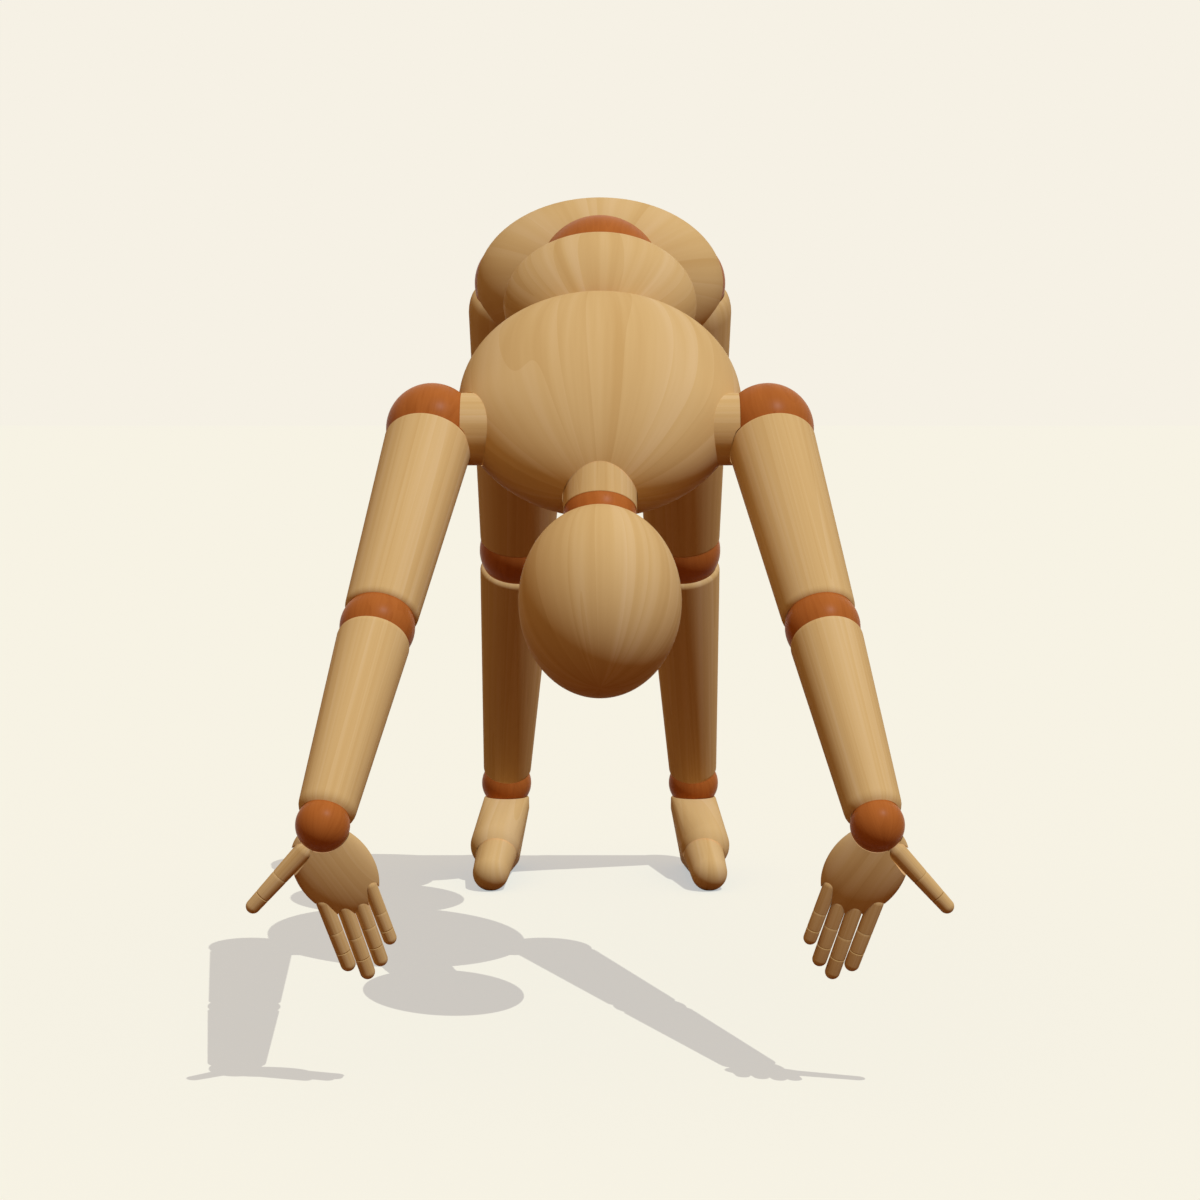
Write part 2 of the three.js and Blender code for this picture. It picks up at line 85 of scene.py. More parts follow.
def tone(code):  # sRGB hex to linear
    parts = [int(code[i:i + 2], 16) / 255 for i in (1, 3, 5)]
    return [p / 12.92 if p <= 0.04045 else ((p + 0.055) / 1.055) ** 2.4 for p in parts] + [1]


def addNode(tree, kind, settings=None, links=None):
    node = tree.nodes.new(kind)
    for key, value in (settings or {}).items():
        if isinstance(key, str) and hasattr(node, key):
            setattr(node, key, value)
        else:
            node.inputs[key].default_value = value
    for key, source in (links or {}).items():
        tree.links.new(source, node.inputs[key])
    return node


def newMaterial(name):
    material = bpy.data.materials.new(name)
    material.use_nodes = True
    material.node_tree.nodes.clear()
    return material, material.node_tree


# Limewood, turned on a lathe, sanded and waxed: pale tan with soft streaks that run the way of
# the grain, some paler and some a warmer brown, and hardly any shine. Widths and lengths are in
# mm, and the widths hold on a piece with the radius of a limb.
turnedLimewood = {
    # cutShade is painted shade for the cuts in the fingers, not a colour of the wood
    "pale": "#E0BD8B", "body": "#D9B37A", "deep": "#D0A76C", "cutShade": "#A87F48",
    "streakWidth": 3.9, "streakLength": 230, "lineWidth": 0.9,
    "roughness": 0.5, "shine": 0.004,
}

# Beech, stained red-brown and oiled: a soft shine, and grain that hardly shows through the stain
stainedBeech = {
    # cutShade is painted shade for cuts
    "pale": "#B86A30", "body": "#B2652C", "deep": "#AA5E27", "cutShade": "#8A4A1E",
    "streakWidth": 2.6, "streakLength": 20, "lineWidth": 0.7,
    "roughness": 0.36, "shine": 0.05,
}

# How the grain of both woods is drawn: broad streaks, the edges of the growth rings and fine lines
grainDrawing = {
    "limbRadius": 12,                                  # mm
    "streaks": {"Scale": 1.0, "Detail": 2.0, "Roughness": 0.5, "Distortion": 0.5},
    "lines": {"Detail": 2.0, "Roughness": 0.6},
    "rings": {"Scale": 0.55, "Detail": 0.0, "Distortion": 0.3},
    "ringCount": 7.0, "ringShare": 0.16, "lineShare": 0.2,
    "deepAt": 0.3, "bodyAt": 0.5, "paleAt": 0.7,       # where each colour lies from dark to light
    "bump": {"Strength": 0.08, "Distance": 0.0002}, "ior": 1.45,
}


def makeWood(name, settings):
    material, tree = newMaterial(name)
    drawing = grainDrawing
    grain = addNode(tree, "ShaderNodeAttribute", {"attribute_name": "grain"})
    parts = addNode(tree, "ShaderNodeSeparateXYZ", links={0: grain.outputs["Vector"]})
    flat = addNode(tree, "ShaderNodeCombineXYZ",
                   links={"X": parts.outputs["X"], "Y": parts.outputs["Y"]})
    around = addNode(tree, "ShaderNodeVectorMath", {"operation": "NORMALIZE"}, {0: flat.outputs[0]})
    across = drawing["limbRadius"] / settings["streakWidth"]      # streaks to a radian
    spread = addNode(tree, "ShaderNodeVectorMath", {"operation": "MULTIPLY", 1: (across,) * 3},
                     {0: around.outputs[0]})
    along = 1 / mm / settings["streakLength"]                     # streaks to a metre
    rise = addNode(tree, "ShaderNodeMath", {"operation": "MULTIPLY", 1: along}, {0: parts.outputs["Z"]})
    lift = addNode(tree, "ShaderNodeCombineXYZ", links={"Z": rise.outputs[0]})
    place = addNode(tree, "ShaderNodeVectorMath", {"operation": "ADD"},
                    {0: spread.outputs[0], 1: lift.outputs[0]})
    streaks = addNode(tree, "ShaderNodeTexNoise", drawing["streaks"], {"Vector": place.outputs[0]})
    lines = addNode(tree, "ShaderNodeTexNoise",
                    {"Scale": settings["streakWidth"] / settings["lineWidth"], **drawing["lines"]},
                    {"Vector": place.outputs[0]})
    rings = addNode(tree, "ShaderNodeTexNoise", drawing["rings"], {"Vector": place.outputs[0]})
    steps = addNode(tree, "ShaderNodeMath", {"operation": "MULTIPLY", 1: drawing["ringCount"]},
                    {0: rings.outputs["Fac"]})
    edges = addNode(tree, "ShaderNodeMath", {"operation": "FRACT"}, {0: steps.outputs[0]})
    coarse = addNode(tree, "ShaderNodeMix", {"data_type": "FLOAT", 0: drawing["ringShare"]},
                     {2: streaks.outputs["Fac"], 3: edges.outputs[0]})
    blend = addNode(tree, "ShaderNodeMix", {"data_type": "FLOAT", 0: drawing["lineShare"]},
                    {2: coarse.outputs[0], 3: lines.outputs["Fac"]})
    ramp = addNode(tree, "ShaderNodeValToRGB", links={"Fac": blend.outputs[0]})
    stops = ramp.color_ramp.elements
    stops[0].position, stops[0].color = drawing["deepAt"], tone(settings["deep"])
    stops[1].position, stops[1].color = drawing["paleAt"], tone(settings["pale"])
    stops.new(drawing["bodyAt"]).color = tone(settings["body"])
    scoreShade = addNode(tree, "ShaderNodeAttribute", {"attribute_name": "scoreShade"})   # painted shade in the cuts
    surface = addNode(tree, "ShaderNodeMix", {"data_type": "RGBA", 7: tone(settings["cutShade"])},
                      {0: scoreShade.outputs["Fac"], 6: ramp.outputs["Color"]})
    bump = addNode(tree, "ShaderNodeBump", drawing["bump"], {"Height": lines.outputs["Fac"]})
    shader = addNode(tree, "ShaderNodeBsdfPrincipled",
                     {"Roughness": settings["roughness"], "IOR": drawing["ior"],
                      "Specular IOR Level": settings["shine"]},
                     {"Base Color": surface.outputs[2], "Normal": bump.outputs["Normal"]})
    addNode(tree, "ShaderNodeOutputMaterial", links={"Surface": shader.outputs[0]})
    return material


wood = makeWood("turnedLimewood", turnedLimewood)
stain = makeWood("stainedBeech", stainedBeech)
print("materials made")


def clearSelection():
    if bpy.context.object and bpy.context.object.mode != "OBJECT":
        bpy.ops.object.mode_set(mode="OBJECT")
    bpy.ops.object.select_all(action="DESELECT")


def pick(piece):
    clearSelection()
    piece.select_set(True)
    bpy.context.view_layer.objects.active = piece


def applyPlace():
    bpy.ops.object.transform_apply(location=True, rotation=True, scale=True)
    return bpy.context.object


def moveBy(piece, matrix):
    pick(piece)
    piece.matrix_world = matrix
    return applyPlace()


def mirrored(piece):  # the same piece for the figure's other side
    twin = piece.copy()
    twin.data = piece.data.copy()
    bpy.context.scene.collection.objects.link(twin)
    moveBy(twin, otherSide)
    bpy.ops.object.mode_set(mode="EDIT")
    bpy.ops.mesh.select_all(action="SELECT")
    bpy.ops.mesh.normals_make_consistent(inside=False)
    bpy.ops.object.mode_set(mode="OBJECT")
    return twin


def selectEdges(piece, wanted):
    bpy.ops.object.mode_set(mode="EDIT")
    bpy.ops.mesh.select_mode(type="EDGE")
    bpy.ops.mesh.select_all(action="DESELECT")
    bpy.ops.object.mode_set(mode="OBJECT")
    spots = piece.data.vertices
    for edge in piece.data.edges:
        edge.select = wanted(spots[edge.vertices[0]].co, spots[edge.vertices[1]].co)
    bpy.ops.object.mode_set(mode="EDIT")


def turned(rings, segments=96):  # a turned shape along Z, from the height and radius of each ring
    clearSelection()
    bpy.ops.mesh.primitive_circle_add(vertices=segments, radius=rings[0][1], fill_type="NGON",
                                      location=(0, 0, rings[0][0]))
    piece = applyPlace()
    bpy.ops.object.mode_set(mode="EDIT")
    bpy.ops.mesh.select_all(action="SELECT")
    for (below, radius), (above, wanted) in zip(rings, rings[1:]):
        bpy.ops.mesh.extrude_region_move(TRANSFORM_OT_translate={"value": (0, 0, above - below)})
        bpy.ops.transform.resize(value=(wanted / radius, wanted / radius, 1))
    bpy.ops.mesh.select_all(action="SELECT")
    bpy.ops.mesh.normals_make_consistent(inside=False)
    bpy.ops.object.mode_set(mode="OBJECT")
    return piece


def selectLevel(piece, height):  # the ring of edges at one height
    selectEdges(piece, lambda a, b: max(abs(a.z - height), abs(b.z - height)) < nearness)


def roundRim(piece, height, size, segments):  # rounds the sharp rim of a piece at one height
    selectLevel(piece, height)
    bpy.ops.mesh.bevel(offset=size, segments=segments, affect="EDGES")
    bpy.ops.object.mode_set(mode="OBJECT")


def cutWith(piece, tools):
    for tool in tools:
        cut = piece.modifiers.new("cut", "BOOLEAN")
        cut.operation, cut.solver, cut.object = "DIFFERENCE", "EXACT", tool
        pick(piece)
        bpy.ops.object.modifier_apply(modifier=cut.name)
        bpy.data.objects.remove(tool)
    return piece


def ballAt(radius, centre, segments=72):
    clearSelection()
    bpy.ops.mesh.primitive_uv_sphere_add(segments=segments, ring_count=segments // 2, radius=radius,
                                         location=centre)
    return applyPlace()


def rodBetween(radius, start, end, segments=64):
    clearSelection()
    way = end - start
    bpy.ops.mesh.primitive_cylinder_add(vertices=segments, radius=radius, depth=way.length,
                                        location=(start + end) / 2,
                                        rotation=way.to_track_quat("Z", "Y").to_euler())
    return applyPlace()


def egg(half, place, grow=0.0, segments=96):
    clearSelection()
    bpy.ops.mesh.primitive_uv_sphere_add(segments=segments, ring_count=segments // 2, radius=1)
    bpy.ops.transform.resize(value=[(h + grow) * mm for h in half])
    return moveBy(applyPlace(), place)


# a skin stretched round balls and level rings, each given by its radius and its centre
def hullOf(balls, segments=40, rings=(), ringSegments=64):
    piece = ballAt(*balls[0], segments)
    bpy.ops.object.mode_set(mode="EDIT")
    for radius, centre in balls[1:]:
        bpy.ops.mesh.primitive_uv_sphere_add(segments=segments, ring_count=segments // 2, radius=radius,
                                             location=centre)
    for radius, centre in rings:
        bpy.ops.mesh.primitive_circle_add(vertices=ringSegments, radius=radius, location=centre)
    bpy.ops.mesh.select_all(action="SELECT")
    bpy.ops.mesh.delete(type="EDGE_FACE")      # the points alone are left for the skin
    bpy.ops.mesh.select_all(action="SELECT")
    bpy.ops.mesh.convex_hull(join_triangles=False)
    bpy.ops.mesh.select_all(action="SELECT")
    bpy.ops.mesh.normals_make_consistent(inside=False)
    bpy.ops.object.mode_set(mode="OBJECT")
    return piece


finishing = {
    "merge": 2e-6,          # metres; points this close become one
    "sharp": 30,            # degrees; an edge that turns more than this stays sharp
    "timberStep": 1.37,     # metres of timber between one piece's grain and the next one's
}


def finishPiece(piece, name, body, node, finish, place, seed):
    piece.name = piece.data.name = name
    pick(piece)
    bpy.ops.object.mode_set(mode="EDIT")
    bpy.ops.mesh.select_all(action="SELECT")
    bpy.ops.mesh.remove_doubles(threshold=finishing["merge"])
    bpy.ops.mesh.delete_loose()
    bpy.ops.object.mode_set(mode="OBJECT")
    bpy.ops.object.shade_smooth_by_angle(angle=math.radians(finishing["sharp"]))
    back = place.inverted()
    store = piece.data.attributes.new("grain", "FLOAT_VECTOR", "POINT")
    for spot, value in zip(piece.data.vertices, store.data):
        value.vector = back @ spot.co + Vector((0, 0, seed * finishing["timberStep"]))
    piece.data.materials.clear()
    piece.data.materials.append(finish)
    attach(piece, body)
    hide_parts(node)


def addTwins(piece, name, node, finish, place, seed):
    twin = mirrored(piece)
    finishPiece(piece, f"right{name}", f"right_{node}", f"right_{node}", finish, place, seed)
    finishPiece(twin, f"left{name}", f"left_{node}", f"left_{node}", finish,
                otherSide @ place @ otherSide, seed + 1)


# gaps between pieces, in mm
fit = {
    "seat": 0.15,         # between a ball and its seat
    "bend": 0.6,          # round a thigh that swings in the pelvis
    "arm": 0.2,           # round an arm that turns against its peg
    "plug": 0.25,         # round a rod in the chest
}

# radii in mm

ballRadius = {"waist": 21.7, "spine": 16.6, "neck": 11.05, "shoulder": 14.3, "elbow": 10.9,
              "wrist": 7.4, "hip": 17.0, "knee": 14.6, "ankle": 10.1}


# the bore that a ball's spring runs in: its radius in mm, and its length in radii of the ball
springBore = {"radius": 1.6, "length": 1.2, "segments": 16}


def seatFor(kind, centre):
    return ballAt((ballRadius[kind] + fit["seat"]) * mm, centre, 96)


def makeBall(kind, centre, ways):  # bored for its spring towards each piece that seats on it
    radius = ballRadius[kind] * mm
    return cutWith(ballAt(radius, centre), [
        rodBetween(springBore["radius"] * mm, centre,
                   centre + way.normalized() * radius * springBore["length"], springBore["segments"])
        for way in ways])


# A limb is a turned cone with a hollow in each end. Each end has its ball, its radius, how far its
# rounding goes in and along, in mm, and how far round the ball it reaches, in degrees from the
# limb's own line.
thigh = {"top": ("hip", 19.1, 3.5, 8.0, 78), "end": ("knee", 14.35, 1.3, 1.3, 70.4)}
shin = {"top": ("knee", 14.05, 2.2, 2.2, 60.5), "end": ("ankle", 9.65, 2.2, 2.4, 56)}
upperArm = {"top": ("shoulder", 13.5, 1.5, 1.5, 64.8), "end": ("elbow", 10.9, 1.8, 2.4, 66.3)}
forearm = {"top": ("elbow", 10.6, 1.8, 2.4, 69.2), "end": ("wrist", 8.0, 2.6, 3.5, 67.2)}


def limbShape(limb, length, grow=0.0, steps=6):
    (topBall, topRadius, topIn, topAlong, topSeat), (endBall, endRadius, endIn, endAlong, endSeat) = \
        limb["top"], limb["end"]
    low = ballRadius[topBall] * mm * math.cos(math.radians(topSeat)) - grow
    high = length - ballRadius[endBall] * mm * math.cos(math.radians(endSeat)) + grow
    turns = [math.radians(90 * step / steps) for step in range(steps + 1)]
    rings = [(low + topAlong * mm * (1 - math.sin(turn)),
              (topRadius - topIn * (1 - math.cos(turn))) * mm + grow) for turn in reversed(turns)]
    rings += [(high - endAlong * mm * (1 - math.sin(turn)),
               (endRadius - endIn * (1 - math.cos(turn))) * mm + grow) for turn in turns]
    return turned(rings)


def makeLimb(limb, length):
    return cutWith(limbShape(limb, length), [seatFor(limb["top"][0], Vector((0, 0, 0))),
                                             seatFor(limb["end"][0], Vector((0, 0, length)))])


for name, node, limb, start, end, seed in (
        ("Thigh", "thigh", thigh, hip, knee, 3),
        ("Shin", "shin", shin, knee, ankle, 5),
        ("UpperArm", "upper_arm", upperArm, shoulder, elbow, 7),
        ("Forearm", "forearm", forearm, elbow, wrist, 9)):
    place = frameAt(start, end - start)
    addTwins(moveBy(makeLimb(limb, (end - start).length), place), name, node, wood, place, seed)
print("limbs made")

for kind, centre, ways, along, seed in (
        ("shoulder", shoulder, (armLine, sideways), armLine, 21),
        ("elbow", elbow, (armLine, -armLine), armLine, 23),
        ("wrist", wrist, (-armLine, handFrame.col[2].xyz), armLine, 25),
        ("hip", hip, (thighLine, sideways), thighLine, 27),
        ("knee", knee, (shinLine, -thighLine), shinLine, 29),
        ("ankle", ankle, (-shinLine, Vector((0, 0, -1))), shinLine, 31)):
    addTwins(makeBall(kind, centre, ways), f"{kind.title()}Ball", f"{kind}_ball", stain,
             frameAt(centre, along), seed)
print("balls made")


# Pelvis: an egg lying crosswise, hollowed for the waist ball, the hip balls and the thighs' swing
pelvis = {"half": (44.2, 25.1, 31.1), "tilt": 13.8, "belowHips": 0.3, "aheadOfHips": 5.7,
          "waistSeatDepth": 19.5, "swings": (-10, -5, 0, 5, 10, 15, 20)}
waistBall = {"pitch": 16.5, "cut": 8.0}     # a flat is cut across its back


def blockBehind(depth, place, size=0.2):  # a block larger than any piece, with its face below a place
    clearSelection()
    bpy.ops.mesh.primitive_cube_add(size=size, location=(0, 0, -size / 2 - depth * mm))
    return moveBy(applyPlace(), place)


pelvisCentre = Vector((0, hip.y - pelvis["aheadOfHips"] * mm, hip.z - pelvis["belowHips"] * mm))
pelvisPlace = frameAt(pelvisCentre, -ahead(90 - pelvis["tilt"]))
rooms = [cutWith(seatFor("waist", waist),
                 [blockBehind(pelvis["waistSeatDepth"], frameAt(waist, ahead(0)))])]
for flip in (Matrix(), otherSide):
    centre = flip @ hip
    rooms.append(seatFor("hip", centre))
    for swing in pelvis["swings"]:
        room = limbShape(thigh, (knee - hip).length, fit["bend"] * mm)
        rooms.append(moveBy(room, turnAbout(centre, sideways, swing)
                            @ frameAt(centre, flip @ thighLine)))
finishPiece(cutWith(egg(pelvis["half"], pelvisPlace), rooms), "pelvisBlock", "pelvis", "pelvis", wood,
            frameAt(pelvisCentre, waist - pelvisCentre), 41)

place = frameAt(waist, ahead(waistBall["pitch"]))
finishPiece(cutWith(ballAt(ballRadius["waist"] * mm, waist), [blockBehind(waistBall["cut"], place)]),
            "waistBall", "waist_ball", "waist_ball", stain, place, 43)

# Chest: a long egg that is a little fuller in front of each shoulder peg
chest = {"half": (44.6, 26.8, 46.9), "pitch": 37.8, "reach": 31.6, "bends": (-10, -5, 0, 5, 10),
         "fuller": 0.066, "fullAt": (15, 19), "fullSize": 8.4}
abdomen = {"half": (32.4, 23.9, 27.2), "reach": 37.7, "pitch": 16.5, "tilt": 20.6, "chestGap": 0.4}
chestLine = ahead(chest["pitch"])
chestPlace = frameAt(spine + chestLine * chest["reach"] * mm, chestLine)
abdomenPlace = frameAt(waist + ahead(abdomen["pitch"]) * abdomen["reach"] * mm, ahead(abdomen["tilt"]))

rooms = [seatFor("waist", waist), seatFor("spine", spine)]
for bend in chest["bends"]:
    room = egg(chest["half"], chestPlace, abdomen["chestGap"])
    rooms.append(moveBy(room, turnAbout(spine, sideways, bend)))
finishPiece(cutWith(egg(abdomen["half"], abdomenPlace), rooms), "abdomenBlock", "abdomen", "abdomen",
            wood, abdomenPlace, 45)
finishPiece(makeBall("spine", spine, (chestLine, -chestLine)), "spineBall", "torso", "spine_ball",
            stain, chestPlace, 47)

# Neck and head: a short rod pressed into the chest, its ball, and a plain egg
neckRod = {"seat": 80, "radius": 11.2, "pitch": 53.8, "length": 20, "edge": 0.3, "edgeSteps": 3}
head = {"half": (24.1, 26.3, 29.5), "reach": 30.5, "reachPitch": 51.6, "pitch": 53.8}
neckPlace = frameAt(neck, ahead(neckRod["pitch"]))
headLine = ahead(head["reachPitch"])
headPlace = frameAt(neck + headLine * head["reach"] * mm, ahead(head["pitch"]))


def makeNeckRod(grow):
    top = -ballRadius["neck"] * mm * math.cos(math.radians(neckRod["seat"]))
    rod = rodBetween(neckRod["radius"] * mm + grow, Vector((0, 0, -neckRod["length"] * mm - grow)),
                     Vector((0, 0, top)))
    roundRim(rod, top, neckRod["edge"] * mm, neckRod["edgeSteps"])
    return moveBy(rod, neckPlace)


finishPiece(cutWith(makeNeckRod(0), [seatFor("neck", neck)]), "neckRod", "torso", "neck", wood,
            neckPlace, 49)
finishPiece(makeBall("neck", neck, (headLine, -ahead(neckRod["pitch"]))), "neckBall", "neck_ball",
            "neck_ball", stain, frameAt(neck, headLine), 51)
finishPiece(cutWith(egg(head["half"], headPlace, segments=128), [seatFor("neck", neck)]), "headEgg",
            "head", "head", wood, headPlace, 53)

# Shoulder pegs: rods that turn in the chest, each with a hollow for the shoulder ball
peg = {"seat": 50, "inner": 31.0, "ballRoom": 0.35}


def makePegRod(grow):
    seatSine = math.sin(math.radians(peg["seat"]))
    radius = (ballRadius["shoulder"] + peg["ballRoom"]) * mm * seatSine + grow
    return rodBetween(radius, Vector((-peg["inner"] * mm + grow, shoulder.y, shoulder.z)), shoulder)


armRoom = moveBy(limbShape(upperArm, (elbow - shoulder).length, fit["arm"] * mm),
                 frameAt(shoulder, armLine))
pegPlace = frameAt(Vector((-peg["inner"] * mm, shoulder.y, shoulder.z)), -sideways, chestLine)
addTwins(cutWith(makePegRod(0), [seatFor("shoulder", shoulder), armRoom]), "ShoulderPeg",
         "shoulder_peg", wood, pegPlace, 55)

chestBlock = egg(chest["half"], chestPlace, segments=128)
for spot in chestBlock.data.vertices:
    there = chestPlace.inverted() @ spot.co / mm
    away = math.hypot(there.y - chest["fullAt"][0], there.z - chest["fullAt"][1]) / chest["fullSize"]
    spot.co.x *= 1 + chest["fuller"] * math.exp(-away * away / 2)
cutWith(chestBlock, [seatFor("spine", spine), makeNeckRod(fit["plug"] * mm),
                     makePegRod(fit["plug"] * mm), moveBy(makePegRod(fit["plug"] * mm), otherSide)])
finishPiece(chestBlock, "chestBlock", "torso", "chest", wood, chestPlace, 57)
print("trunk made")


# Feet: each is one carved block, flat on the floor, with a rimmed hollow for the ankle ball and a
# toe cap on a hinge. Balls are given by reach ahead of the ankle, height and radius, in mm.
foot = {
    "turn": 7.4, "front": (28.7, 14.2, 9.7), "heel": (-2.5, 4.1, 4.9), "sole": (14, 4.7, 5.5),
    "rimDrop": 5.5, "rim": ((8.45, 0), (8.85, 0.22), (9.2, 0.75), (9.25, 5)),     # radius and depth
    "segments": 48, "pointAhead": 20, "heartAbove": 20,
}
toe = {"turn": 5.4, "hinge": (30.5, 11.8, 8.0), "tip": (48, 6.7, 7.1), "bends": (-5, 0, 5, 10),
       "gap": 0.15}


def footPoint(turn, reach, height):
    way = Vector((-math.sin(math.radians(turn)), -math.cos(math.radians(turn)), 0))
    return Vector((ankle.x, ankle.y, height * mm)) + way * reach * mm


def onFloor(piece):  # cuts off what would lie below the floor
    return cutWith(piece, [blockBehind(0, Matrix.Translation((ankle.x, ankle.y, 0)))])


toeHinge = footPoint(toe["turn"], *toe["hinge"][:2])
toeTip = footPoint(toe["turn"], *toe["tip"][:2])
toeTurn = math.radians(toe["turn"])
toeAcross = Vector((math.cos(toeTurn), -math.sin(toeTurn), 0))


def makeToe(grow, bends=(0,)):  # the round front, or the room that it bends in
    return hullOf([(toe["hinge"][2] * mm + grow, toeHinge)]
                  + [(toe["tip"][2] * mm + grow, turnAbout(toeHinge, toeAcross, bend) @ toeTip)
                     for bend in bends])


def makeFoot():
    balls = [(radius * mm, footPoint(foot["turn"], reach, height))
             for reach, height, radius in (foot["front"], foot["heel"], foot["sole"])]
    rim = [(radius * mm, ankle - Vector((0, 0, (foot["rimDrop"] + depth) * mm)))
           for radius, depth in foot["rim"]]
    return onFloor(hullOf(balls, foot["segments"], rim))


rooms = [seatFor("ankle", ankle), makeToe(toe["gap"] * mm, toe["bends"])]
footPlace = frameAt(ankle, footPoint(foot["turn"], foot["pointAhead"], ankle.z / mm) - ankle)
toePlace = frameAt(toeHinge, toeTip - toeHinge)
above = Matrix.Translation((0, foot["heartAbove"] * mm, 0))     # where the tree's heart would be
addTwins(cutWith(makeFoot(), rooms), "Foot", "foot", wood, footPlace @ above, 61)
addTwins(onFloor(makeToe(0)), "ToeCap", "toe_cap", wood, toePlace @ above, 63)
print("feet made")


# Hands: a flat egg of a palm, four fingers and a thumb, each in two pieces with a line cut round the
# second, and painted shade in that cut and at the first's end by the knuckle. s runs from the wrist to
# the fingertips and t across from the thumb's side, in mm.
palm = {"half": (10.5, 3.8, 14.6), "centre": (13.5, -0.86), "lean": 16.7, "digitGap": 0.3,
        "heartAbove": 12}
# s at the root, the knuckle, the score and the middle of the round tip, then t, lean and radius
fingers = {
    "Index": ("index_finger", 21.5, 31.3, 36.9, 40.9, -6.6, 1.5, 2.2),
    "Middle": ("middle_finger", 24.8, 34.5, 40.5, 45.0, -1.8, 0, 2.2),
    "Ring": ("ring_finger", 25.1, 32.9, 38.4, 42.6, 2.55, 0.4, 2.15),
    "Little": ("little_finger", 20.9, 29.7, 34.5, 37.3, 6.6, 1.5, 2.0),
}
lifts = {"Little": 0.5}      # the little finger's root stands proud of the palm
thumb = {"root": (5.2, -7.4), "lift": 0.8, "angle": 59.0, "knuckle": 9.95, "score": 16.55,
         "end": 20.35, "radii": (2.6, 2.0)}
digit = {"taper": 0.05, "knuckleSeat": 70, "gap": 0.05, "scoreDepth": 0.15, "scoreWidth": 0.22,
         "trim": 10, "segments": 32}


def paintScoreShade(piece, height, reach):  # painted shade, darkest at one height, along the piece
    store = piece.data.attributes.new("scoreShade", "FLOAT", "POINT")
    for spot, value in zip(piece.data.vertices, store.data):
        value.value = max(0, 1 - abs(spot.co.z - height) / reach)


def cutAcross(piece, heights):  # rings of edges across a piece, at heights along Z
    pick(piece)
    bpy.ops.object.mode_set(mode="EDIT")
    for height in heights:
        bpy.ops.mesh.select_all(action="SELECT")
        bpy.ops.mesh.bisect(plane_co=(0, 0, height), plane_no=(0, 0, 1), threshold=nearness)
    bpy.ops.object.mode_set(mode="OBJECT")


def digitPieces(length, knuckle, score, radii):
    segments = digit["segments"]
    rootRadius, tipRadius = (r * mm for r in radii)
    middle = rootRadius + (tipRadius - rootRadius) * knuckle / length
    bend = Vector((0, 0, knuckle * mm))
    top = Vector((0, 0, knuckle * mm - middle * math.cos(math.radians(digit["knuckleSeat"]))))
    base = cutWith(hullOf([(rootRadius, Vector((0, 0, 0))), (middle, bend)], segments),
                   [rodBetween(middle * 2, top, top + Vector((0, 0, digit["trim"] * mm)), segments),
                    ballAt(middle + digit["gap"] * mm, bend, segments)])
    tip = hullOf([(middle, bend), (tipRadius, Vector((0, 0, length * mm)))], segments)
    width = digit["scoreWidth"] * mm
    cutAcross(tip, [score * mm - width, score * mm, score * mm + width])
    selectLevel(tip, score * mm)
    inward = 1 - digit["scoreDepth"] * mm / middle
    bpy.ops.transform.resize(value=(inward, inward, 1))
    bpy.ops.object.mode_set(mode="OBJECT")
    # painted shade in the cut round the tip, and at the base's end by the knuckle
    paintScoreShade(tip, score * mm, width)
    cutAcross(base, [top.z - width])
    paintScoreShade(base, top.z, width)
    return base, tip


def handPlace(s, t, angle, lift=0.0):
    return (handFrame @ Matrix.Translation(Vector((t, lift, s)) * mm)
            @ Matrix.Rotation(math.radians(angle), 4, "Y"))


digits = {name: (node, handPlace(root, t, lean, lifts.get(name, 0)), knuckle - root, score - root,
                 end - root, (radius, radius * (1 - digit["taper"])))
          for name, (node, root, knuckle, score, end, t, lean, radius) in fingers.items()}
digits["Thumb"] = ("thumb", handPlace(*thumb["root"], -thumb["angle"], thumb["lift"]),
                   thumb["knuckle"], thumb["score"], thumb["end"], thumb["radii"])
rooms = [seatFor("wrist", wrist)]
for count, (name, (node, place, knuckle, score, length, radii)) in enumerate(digits.items()):
    base, tip = digitPieces(length, knuckle, score, radii)
    roomRadius = (radii[0] + palm["digitGap"]) * mm
    room = hullOf([(roomRadius, Vector((0, 0, 0))), (roomRadius, Vector((0, 0, knuckle * mm)))],
                  digit["segments"])
    rooms.append(moveBy(room, place))
    addTwins(moveBy(base, place), f"{name}Base", f"{node}_base", wood, place, 71 + 4 * count)
    addTwins(moveBy(tip, place), f"{name}Tip", f"{node}_tip", wood, place, 73 + 4 * count)
palmPlace = handPlace(*palm["centre"], palm["lean"])
addTwins(cutWith(egg(palm["half"], palmPlace), rooms), "Palm", "palm", wood,
         palmPlace @ Matrix.Translation((0, palm["heartAbove"] * mm, 0)), 95)
print("hands made")


# Seamless paper under one small clear lamp. The paper's own glow keeps its shadows pale, and the
# light that it throws back up at the wood is dim and brown.
studio = {
    "paper": "#F6F1E5", "paperGlow": (0.438, 0.482, 0.5), "paperMatt": (0.535, 0.458, 0.319),
    "bounce": (0.15, 0.044, 0.01), "fill": (0.371, 0.253, 0.128),
    "sun": (0.743, 0.872, 1.0), "sunStrength": 2.74, "sunFrom": (0.385, -0.486, 1.0), "sunSize": 0.15,
    "sunPlace": (0.4, -0.5, 1), "floorSize": 40,
}


def seenDirectly(tree):  # by the camera, or in something shiny or clear
    path = addNode(tree, "ShaderNodeLightPath")
    first = addNode(tree, "ShaderNodeMath", {"operation": "MAXIMUM"},
                    {0: path.outputs["Is Camera Ray"], 1: path.outputs["Is Glossy Ray"]})
    return addNode(tree, "ShaderNodeMath", {"operation": "MAXIMUM"},
                   {0: first.outputs[0], 1: path.outputs["Is Transmission Ray"]}).outputs[0]


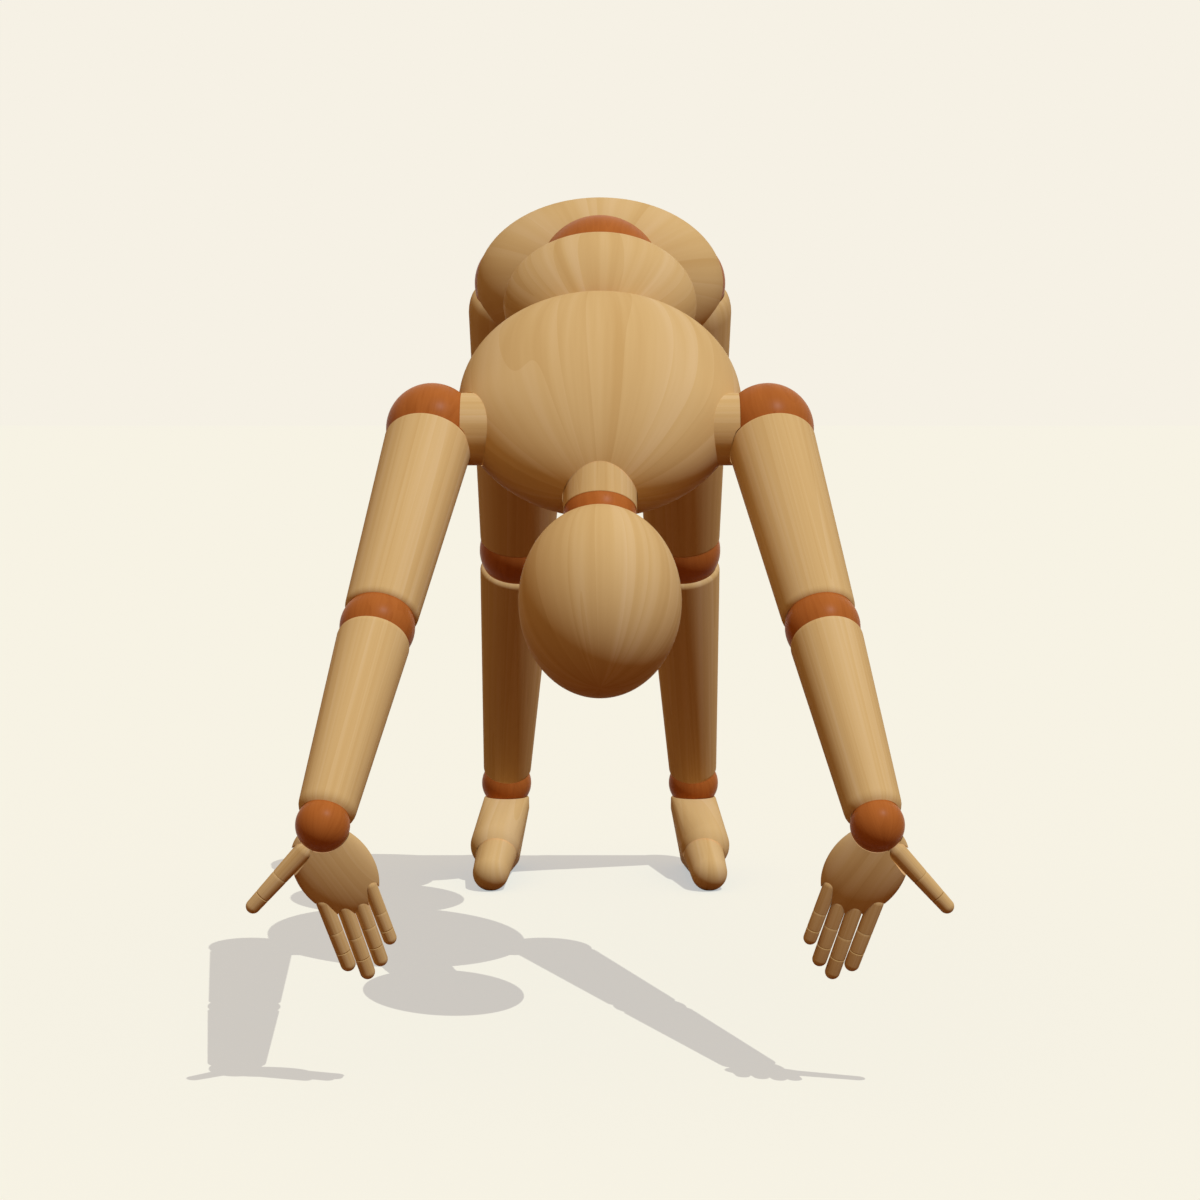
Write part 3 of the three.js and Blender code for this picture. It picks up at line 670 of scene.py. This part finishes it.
def makePaper():
    material, tree = newMaterial("seamlessPaper")
    glow = addNode(tree, "ShaderNodeEmission", {"Color": (*studio["paperGlow"], 1), "Strength": 1.0})
    matt = addNode(tree, "ShaderNodeBsdfDiffuse", {"Color": (*studio["paperMatt"], 1)})
    both = addNode(tree, "ShaderNodeAddShader", links={0: glow.outputs[0], 1: matt.outputs[0]})
    dim = addNode(tree, "ShaderNodeBsdfDiffuse", {"Color": (*studio["bounce"], 1)})
    mix = addNode(tree, "ShaderNodeMixShader",
                  links={0: seenDirectly(tree), 1: dim.outputs[0], 2: both.outputs[0]})
    addNode(tree, "ShaderNodeOutputMaterial", links={"Surface": mix.outputs[0]})
    return material


clearSelection()
bpy.ops.mesh.primitive_plane_add(size=studio["floorSize"], location=(0, 0, 0))
floor = applyPlace()
floor.name = "paperFloor"
floor.data.materials.append(makePaper())

world = bpy.data.worlds.new("studio")
bpy.context.scene.world = world
world.use_nodes = True
tree = world.node_tree
tree.nodes.clear()
backdrop = addNode(tree, "ShaderNodeBackground", {"Color": tone(studio["paper"]), "Strength": 1.0})
fill = addNode(tree, "ShaderNodeBackground", {"Color": (*studio["fill"], 1), "Strength": 1.0})
mix = addNode(tree, "ShaderNodeMixShader",
              links={0: seenDirectly(tree), 1: fill.outputs[0], 2: backdrop.outputs[0]})
addNode(tree, "ShaderNodeOutputWorld", links={"Surface": mix.outputs[0]})


def groupFor(name, state):  # the paper alone, or all but the paper
    group = bpy.data.collections.new(name)
    group.objects.link(floor)
    group.collection_objects[0].light_linking.link_state = state
    return group


def addLamp(name, lights, blockedBy=None):
    clearSelection()
    bpy.ops.object.light_add(type="SUN", location=studio["sunPlace"])
    lamp = bpy.context.object
    lamp.name = name
    lamp.rotation_euler = Vector(studio["sunFrom"]).to_track_quat("Z", "Y").to_euler()
    lamp.data.color = studio["sun"]
    lamp.data.energy = studio["sunStrength"]
    lamp.data.angle = math.radians(studio["sunSize"])
    lamp.light_linking.receiver_collection = lights
    lamp.light_linking.blocker_collection = blockedBy


# one lamp for the paper and its shadows, and its twin for the wood, which throws no shade on itself
paperOnly, allButPaper = groupFor("paperOnly", "INCLUDE"), groupFor("allButPaper", "EXCLUDE")
addLamp("paperLamp", paperOnly)
addLamp("woodLamp", allButPaper, paperOnly)

# the photograph's camera: metres, degrees below level, and mm
view = {"place": (0, -0.84804, 0.1905), "pitch": 4.49, "lens": 75.42, "sensor": 36, "farthest": 100}
bpy.ops.object.camera_add(location=view["place"], rotation=(math.radians(90 - view["pitch"]), 0, 0))
camera = bpy.context.object
camera.data.lens = view["lens"]
camera.data.sensor_width = view["sensor"]
camera.data.clip_end = view["farthest"]
bpy.context.scene.camera = camera
bpy.context.scene.view_settings.view_transform = "Standard"
print("studio made")

bpy.context.view_layer.update()
